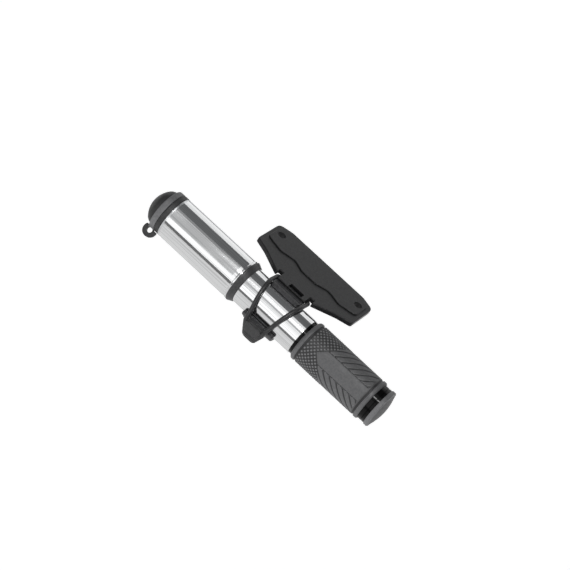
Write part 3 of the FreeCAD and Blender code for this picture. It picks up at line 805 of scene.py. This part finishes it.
def make_collar():
    """Tapered collar with a step under the sleeve's lip and a fine bead at its small end."""
    left, right = ends_of("handle_collar")
    lip = ends_of("handle_sleeve")[1]
    big = radius_of("handle_collar")
    bore = radius_of("barrel_tube") + COLLAR_GAP
    corners = [
        (left, bore, 0),
        (left, big - 1.4, 0.2),
        (lip + COLLAR_FIT, big - 1.4, 0),
        (lip + COLLAR_FIT, big - 0.25, 0.12),
        (lip + 0.30, big, 0.2),
        (lip + 0.80, big - 0.08, 0.3),
        (right - 0.55, big - 1.42, 0.3),
        (right - 0.10, big - 1.62, 0.15),
        (right, big - 1.85, 0.1),
        (right, bore, 0),
    ]
    piece = lathe("handle_collar_ring", soft_outline(corners), "collar_plastic")
    stands_for(piece, "handle_collar", "handle")


def make_bumper():
    """Grey end piece: a rounded rim, and a shallow dome inside it."""
    left, tip = ends_of("rear_bumper")
    rim_r = radius_of("rear_bumper")
    neck = ends_of("barrel_end_plug")[1]
    rim_right = tip - BUMPER_DOME_RISE
    dome_r = rim_r - BUMPER_RIM_WIDTH
    sag = tip - rim_right
    ball = (dome_r * dome_r + sag * sag) / (2 * sag)
    corners = [
        (left, 0, 0),
        (left, BUMPER_SPIGOT_R, 0.3),
        (neck + BUMPER_FIT, BUMPER_SPIGOT_R, 0),
        (neck + BUMPER_FIT, rim_r, 0.35),
        (rim_right, rim_r, 0.75),
        (rim_right + 0.1, dome_r, 0.15),
    ]
    outline = soft_outline(corners)
    full = math.asin(dome_r / ball)
    for i in range(1, DOME_STEPS + 1):
        a = full * (1 - i / DOME_STEPS)
        outline.append((tip - ball + ball * math.cos(a), ball * math.sin(a)))
    piece = lathe("rear_bumper_domed", outline, "bumper_rubber", closed=False)
    along = np.array([v.co.x for v in piece.data.vertices]) / MM
    # Painted shade: 1 on the rim, 0 on the domed end face.
    carry(piece, "pale", smooth_step(rim_right + 0.25 - along, -0.2, 0.2))
    stands_for(piece, "rear_bumper", "barrel")


# ---- pieces that keep their CAD shape, with worn edges
# Piece, node, body, slot, voxel in millimetres, rounds of relaxing.
SOFTENED = (
    ("retaining_strap_moulded", "retaining_strap", "strap", "strap_rubber", 0.20, 5),
    ("dust_cap_moulded", "dust_cap", "cap", "cap_rubber", 0.24, 6),
    ("clip_cradle_moulded", "clip_cradle", "bracket", "bracket_plastic", 0.24, 4),
    ("cap_retaining_ring_soft", "cap_retaining_ring", "handle", "ring_rubber", 0.15, 4),
)
CAP_BAND_WIDTH = 4.2
CAP_BAND_FADE = (-0.5, -0.2)
CAP_BAND_RISE = 0.35
SPRING_VOXEL = 0.06


def band_mask(piece):
    """1 on the dust cap's rim band, 0 on its dome and its loop, which take the painted shade."""
    points = np.array([tuple(v.co) for v in piece.data.vertices]) / MM
    away = np.hypot(points[:, 1] - PUMP_AXIS.y / MM, points[:, 2] - PUMP_AXIS.z / MM)
    rim = radius_of("cap_retaining_ring") + CAP_BAND_RISE
    band_left = ends_of("cap_retaining_ring")[0] - CAP_BAND_WIDTH
    return smooth_step(points[:, 0] - band_left, *CAP_BAND_FADE) * smooth_step(rim - away, -EDGE, EDGE)


def make_softened():
    """The strap, the dust cap, the clip and the retaining ring, with the masks that their finishes read:
    painted shade on the cap's dome and loop, and a painted reflection on the clip.
    """
    for name, node, body, slot, voxel, rounds in SOFTENED:
        piece = softened_copy(name, node, slot, voxel, rounds)
        stands_for(piece, node, body)
        if node == "dust_cap":
            # Painted shade on the cap's dome and loop; the rim band keeps its colour.
            carry(piece, "pale", band_mask(piece))
        if node == "clip_cradle":
            # Painted reflection: the whole clip is made paler than the plate.
            carry(piece, "painted_reflection", np.ones(len(piece.data.vertices)))


def make_spring():
    """The check valve's spring, between the rod and the ball."""
    piece = softened_copy("valve_spring_coil", "valve_spring", "spring_steel", SPRING_VOXEL, 1)
    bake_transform(piece)
    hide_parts("valve_spring")


def paint_nodes():
    """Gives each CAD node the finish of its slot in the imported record."""
    for part in frame["record"]["subparts"]:
        mesh = NODES[part["node"]].data
        mesh.materials.clear()
        mesh.materials.append(FINISHES[part["material_slot"]])


make_camera()
make_studio()
paint_nodes()
make_grip()
make_collar()
make_bumper()
make_softened()
make_spring()
